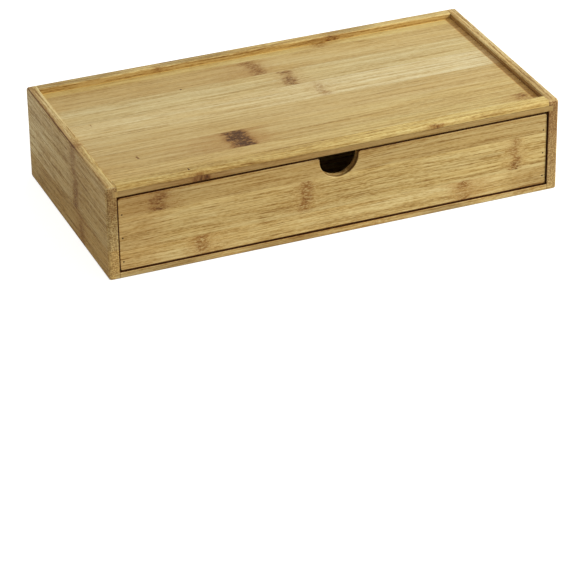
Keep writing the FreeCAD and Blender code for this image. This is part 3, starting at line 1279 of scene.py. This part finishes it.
    def right_side(self) -> BoardLook:
        """Describes the right side board.

        Returns:
            Its look.
        """
        inner, run, rim_wall = (159.0, 160.8), (-84.0, 90.0), (64.0, 69.0)
        top = self.rim_top
        return BoardLook(
            "right_side", GrainRun.FRONT_TO_BACK, Lay.UPRIGHT, seed=12, first_joint=22.0, plies=3,
            contrast=1.3, fine=1.2, uneven=0.25,
            marks=(
                KnuckleMark(-83.0, 59.5, 4.0, 12.5, 0.3, halo=0.2),
                KnuckleMark(31.0, 34.5, 6.5, 12.5, 0.5, halo=0.3, pits=0.3),
                KnuckleMark(-38.0, 9.5, 6.0, 12.5, 0.5, smear=0.4, halo=0.4, pits=0.3),
            ),
            patches=(
                # Painted shade: a dark band on the inner face just behind the front, where it lies in the
                # gap beside the drawer front.
                TonePatch((0.15, 0.06, 0.03), (-84.6, -82.0), (3.0, 62.0), (159.0, 160.4), (0.3, 0.3, 0.3)),
                # Painted shade: the rim's inner face, which faces away from the lamp, is darkened, more so
                # towards the front, and darkest in the crease at the tray floor.
                TonePatch((0.66, 0.57, 0.50), across=rim_wall, through=inner),
                TonePatch((0.80, 0.72, 0.64), (-90.0, 5.0), rim_wall, inner, (40.0, 0.8, 0.4)),
                TonePatch((0.55, 0.42, 0.35), across=(65.0, 66.5), through=inner),
                TonePatch((0.77, 0.74, 0.70), (-84.0, -30.0), top, (159.5, 163.8), (20.0, 0.4, 0.8)),
                TonePatch((1.0, 1.06, 1.20), run, top, (163.8, 168.0), (20.0, 0.4, 0.8)),
                TonePatch((0.87, 0.81, 0.82), self.front_end, soft=(0.4, 1.0, 1.0)),
                TonePatch((0.86, 0.79, 0.76), self.front_end, (42.0, 80.0), soft=(0.4, 18.0, 1.0)),
                TonePatch((1.18, 1.26, 1.32), self.front_end, (-20.0, 16.0), soft=(0.4, 18.0, 1.0)),
            ),
        )

    def back(self) -> BoardLook:
        """Describes the back board.

        Returns:
            Its look.
        """
        return BoardLook(
            "back_board", GrainRun.ACROSS_THE_BOX, Lay.UPRIGHT, seed=21, first_joint=20.0, plies=3,
            tint=(0.98, 0.95, 0.84), contrast=1.3, fine=1.3,
            marks=(
                KnuckleMark(34.0, 57.5, 5.0, 12.5, 0.6, halo=0.3),
                KnuckleMark(63.0, 57.5, 6.0, 12.5, 0.5, smear=0.5, halo=0.5),
                KnuckleMark(-70.0, 57.5, 4.5, 12.5, 0.35, halo=0.3),
                KnuckleMark(-22.0, 32.5, 5.0, 12.5, 0.5, smear=-0.4),
                KnuckleMark(112.0, 7.5, 5.5, 12.5, 0.6, smear=0.3),
            ),
            patches=(
                TonePatch((0.82, 0.74, 0.62), across=(65.0, 69.4), through=(77.0, 78.0)),
                TonePatch((1.08, 1.14, 1.18), across=(69.4, 71.0)),
            ),
            joints=self.wall_joints,
        )

    def lip(self) -> BoardLook:
        """Describes the front lip.

        Returns:
            Its look.
        """
        face = (-400.0, -84.7)
        return BoardLook(
            "front_lip", GrainRun.ACROSS_THE_BOX, Lay.FLAT, seed=22, strip=30.0, first_joint=-95.0,
            tint=(1.01, 1.06, 0.93), contrast=1.2, fine=1.5, uneven=0.0,
            marks=(
                KnuckleMark(-100.5, -92.2, 7.0, 8.0, 0.4, pits=0.3),
                KnuckleMark(73.0, -92.2, 6.0, 8.0, 0.7, halo=0.6, pits=0.3),
                KnuckleMark(-107.0, -80.5, 0.7, 1.4, 1.2, halo=0.0, pits=0.0, reach=2.5),
            ),
            patches=(
                TonePatch((0.87, 0.82, 0.78), (-400.0, 0.0), (-84.0, -70.0), soft=(80.0, 1.5, 1.0)),
                TonePatch((0.92, 0.84, 0.76), across=face, soft=(30.0, 0.8, 1.0)),
                TonePatch((0.96, 0.92, 0.90), (-400.0, -20.0), face, soft=(120.0, 0.8, 1.0)),
            ),
            joints=(*self.wall_joints, FlushJoint(Z_AXIS, 65.8, 0.4)),
        )

    def bottom(self) -> BoardLook:
        """Describes the bottom panel.

        Returns:
            Its look.
        """
        edge = self.front_edge
        return BoardLook(
            "bottom_panel", GrainRun.ACROSS_THE_BOX, Lay.FLAT, seed=23, first_joint=-60.0,
            patches=(
                # Painted shade: a dark band on the floor of the opening just behind its front, where it
                # lies in the gap under the drawer front.
                TonePatch((0.15, 0.06, 0.03), ANYWHERE, (-84.5, -82.4), (4.2, 5.0), (1.0, 0.3, 0.2)),
                TonePatch((1.14, 1.14, 1.12), across=edge, soft=(1.0, 0.4, 1.0)),
                TonePatch((0.90, 0.83, 0.74), (-130.0, 90.0), edge, (-1.0, 2.3), (60.0, 0.4, 1.0)),
                TonePatch((1.06, 1.12, 1.22), (90.0, 170.0), edge, soft=(60.0, 0.4, 1.0)),
            ),
            joints=self.wall_joints,
        )


@dataclass
class Drawer(SubAssembly):
    """The drawer's front, sides, back and bottom."""

    title: str = "drawer"
    finish: BambooFinish = field(default_factory=lambda: BambooFinish("drawer_bamboo"))

    def __post_init__(self) -> None:
        """Lists the boards."""
        across, along = GrainRun.ACROSS_THE_BOX, GrainRun.FRONT_TO_BACK
        self.looks = [
            self.front(),
            BoardLook("drawer_left_side", along, Lay.UPRIGHT, seed=32, first_joint=24.0, plies=2),
            BoardLook("drawer_right_side", along, Lay.UPRIGHT, seed=33, first_joint=27.0, plies=2),
            BoardLook("drawer_back", across, Lay.UPRIGHT, seed=34, first_joint=23.0, plies=2),
            BoardLook("drawer_bottom", across, Lay.FLAT, seed=35, first_joint=-58.0),
        ]

    def front(self) -> BoardLook:
        """Describes the drawer front.

        Returns:
            Its look.
        """
        notch = ((-17.0, 19.0), (42.0, 61.0))
        return BoardLook(
            "drawer_front", GrainRun.ACROSS_THE_BOX, Lay.UPRIGHT, seed=31, first_joint=20.4,
            # edge_shade paints shade on the front's edges, where they lie in the gaps round it.
            contrast=1.15, fine=2.6, uneven=0.15, glue=0.1, edge_shade=0.95, tint=(1.0, 0.97, 0.88),
            tones=(
                ((1.10, 1.13, 1.18), (1.09, 1.16, 1.29)),
                ((0.99, 1.00, 1.02), (0.99, 1.03, 1.07)),
                ((0.81, 0.76, 0.70), (0.80, 0.77, 0.73)),
            ),
            marks=(
                KnuckleMark(-129.2, 57.9, 8.0, 12.5, 0.55, halo=0.4),
                KnuckleMark(-24.3, 32.9, 5.5, 12.5, 0.42, halo=0.3, pits=0.9),
                KnuckleMark(134.7, 32.9, 5.0, 12.5, 0.6, halo=0.35, pits=0.9),
                KnuckleMark(-101.2, 7.9, 6.0, 12.5, 0.42, smear=0.5, halo=0.45, pits=0.9),
                KnuckleMark(95.0, 7.9, 6.0, 12.5, 0.5, smear=0.4, halo=0.6, pits=0.8),
            ),
            patches=(
                TonePatch((0.92, 0.86, 0.81), (-170.0, -128.0), soft=(24.0, 1.0, 1.0)),
                # Painted shade: a dark band along the front's lower edge, where it lies in the gap above
                # the bottom panel.
                TonePatch((0.40, 0.28, 0.20), across=(3.0, 5.95), soft=(1.0, 0.35, 1.0)),
                TonePatch((0.80, 0.74, 0.67), (131.0, 170.0), (-5.0, 20.4), soft=(16.0, 0.8, 1.0)),
                TonePatch((0.42, 0.33, 0.27), *notch, (-83.35, -81.2), (1.0, 1.0, 0.4)),
                TonePatch((0.84, 0.78, 0.76), *notch, (-81.2, -76.0), (1.0, 1.0, 0.4)),
            ),
        )


@dataclass
class DividerGrid(SubAssembly):
    """The half-lapped slats that part the drawer into compartments."""

    title: str = "divider grid"
    finish: BambooFinish = field(
        default_factory=lambda: BambooFinish("divider_bamboo", lacquer=0.0, gloss=0.5)
    )

    def __post_init__(self) -> None:
        """Lists the slats."""
        across, along = GrainRun.ACROSS_THE_BOX, GrainRun.FRONT_TO_BACK
        self.looks = [
            BoardLook("long_divider", across, Lay.UPRIGHT, seed=41, first_joint=26.0),
            BoardLook("cross_divider_left", along, Lay.UPRIGHT, seed=42, first_joint=22.0),
            BoardLook("cross_divider_right", along, Lay.UPRIGHT, seed=43, first_joint=30.0),
        ]


@dataclass
class Brads:
    """The pins that hold the drawer's corners."""

    pins: tuple[str, ...] = ("front_brads", "rear_brads")
    finish: SteelFinish = field(default_factory=SteelFinish)

    def dress(self, nodes: dict[str, bpy.types.Object]) -> None:
        """Gives the pins their steel.

        Args:
            nodes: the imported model's objects by name.
        """
        for name in self.pins:
            material = self.finish.dress(nodes[name])
            LOG.info("brads: %s wear %s", name, material.name)


# ---------------------------------------------------------------------------
# Studio
# ---------------------------------------------------------------------------


def stand(name: str, data: bpy.types.ID) -> bpy.types.Object:
    """Puts a new object in the scene.

    Args:
        name: its name.
        data: its mesh, lamp or camera.

    Returns:
        The object.
    """
    made = bpy.data.objects.new(name, data)
    bpy.context.scene.collection.objects.link(made)
    return made


@dataclass
class StudioCamera:
    """A long lens that looks down at the box from the front left."""

    azimuth: float = -22.056
    elevation: float = 29.5503
    roll: float = -0.8261
    focal_px: float = 2959.2116
    frame_px: float = 584.0
    sensor: float = 36.0
    target: Triple = (0.0, 0.0, 0.035)
    offset: Triple = (-0.0004718, 0.1092532, 2.0942789)

    def place(self) -> bpy.types.Object:
        """Builds the camera and makes it the scene's own.

        Returns:
            The camera.
        """
        turn, rise, roll = (math.radians(a) for a in (self.azimuth, self.elevation, self.roll))
        back = Vector((math.sin(turn) * math.cos(rise), -math.cos(turn) * math.cos(rise), math.sin(rise)))
        level = (-back).cross(Vector(Z_AXIS)).normalized()
        upright = back.cross(level)
        right = math.cos(roll) * level + math.sin(roll) * upright
        up = math.cos(roll) * upright - math.sin(roll) * level
        shift = Vector(self.offset)
        eye = Vector(self.target) - right * shift.x - up * shift.y + back * shift.z
        data = bpy.data.cameras.new("studio_camera")
        data.sensor_width = self.sensor
        data.lens = self.focal_px * self.sensor / self.frame_px
        camera = stand("studio_camera", data)
        pose = Matrix((right, up, back)).transposed().to_4x4()
        pose.translation = eye
        camera.matrix_world = pose
        bpy.context.scene.camera = camera
        LOG.info("camera stands at %s", tuple(round(v, 3) for v in eye))
        return camera


@dataclass
class Studio:
    """A pale floor, one soft lamp to the right and white surroundings."""

    key_aim: Triple = (0.0, 0.0, 0.06)
    key_towards: Triple = (0.74, -0.39, 0.54)
    key_distance: float = 1.4
    key_size: float = 0.09
    key_power: float = 14.5
    key_colour: Colour = (1.0, 1.0, 0.98)
    fill: float = 0.6
    fill_colour: Colour = (1.0, 0.96, 0.90)
    floor_side: float = 40.0
    floor_colour: Colour = (0.6, 0.6, 0.59)
    floor_rough: float = 0.9
    floor_glow: float = 0.78

    def hang_lamp(self) -> bpy.types.Object:
        """Hangs the lamp.

        Returns:
            The lamp.
        """
        lamp = bpy.data.lights.new("key_lamp", "AREA")
        lamp.shape = "DISK"
        lamp.size = self.key_size
        lamp.energy = self.key_power
        lamp.color = self.key_colour
        key = stand("key_lamp", lamp)
        towards = Vector(self.key_towards).normalized()
        key.location = Vector(self.key_aim) + towards * self.key_distance
        key.rotation_euler = towards.to_track_quat("Z", "Y").to_euler()
        LOG.info("lamp hangs at %s", tuple(round(v, 3) for v in key.location))
        return key

    def paint_room(self) -> None:
        """Makes the surroundings pale and shows colours as they are."""
        world = bpy.data.worlds.new("white_room")
        world.use_nodes = True
        background = world.node_tree.nodes["Background"]
        background.inputs["Color"].default_value = (*self.fill_colour, 1.0)
        background.inputs["Strength"].default_value = self.fill
        bpy.context.scene.world = world
        bpy.context.scene.view_settings.view_transform = "Standard"
        LOG.info("room painted")

    def lay_floor(self) -> bpy.types.Object:
        """Lays the floor.

        Returns:
            The floor.
        """
        half = 0.5 * self.floor_side
        outline = [(x * half, y * half, 0.0) for x, y in ((-1, -1), (1, -1), (1, 1), (-1, 1))]
        mesh = bpy.data.meshes.new("studio_floor")
        mesh.from_pydata(outline, [], [(0, 1, 2, 3)])
        mesh.materials.append(make_material("pale_floor", self.floor_skin))
        floor = stand("studio_floor", mesh)
        LOG.info("floor laid")
        return floor

    def floor_skin(self, wiring: Wiring) -> Feeds:
        """Lets the camera see the floor paler than the light makes it.

        Args:
            wiring: writes into the floor's material.

        Returns:
            What feeds the shader.
        """
        rays = wiring.node("ShaderNodeLightPath")
        return {
            "Base Color": self.floor_colour,
            "Roughness": self.floor_rough,
            "Specular IOR Level": 0.0,
            "Emission Color": NO_TINT,
            "Emission Strength": wiring.times(rays.outputs["Is Camera Ray"], self.floor_glow),
        }


def main() -> None:
    """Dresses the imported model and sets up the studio."""
    logging.basicConfig(level=logging.INFO, format="%(name)s: %(message)s")
    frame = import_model()
    for assembly in (Case(), Drawer(), DividerGrid(), Brads()):
        assembly.dress(frame["nodes"])
    studio = Studio()
    studio.lay_floor()
    studio.hang_lamp()
    studio.paint_room()
    StudioCamera().place()


if __name__ == "__main__":
    main()
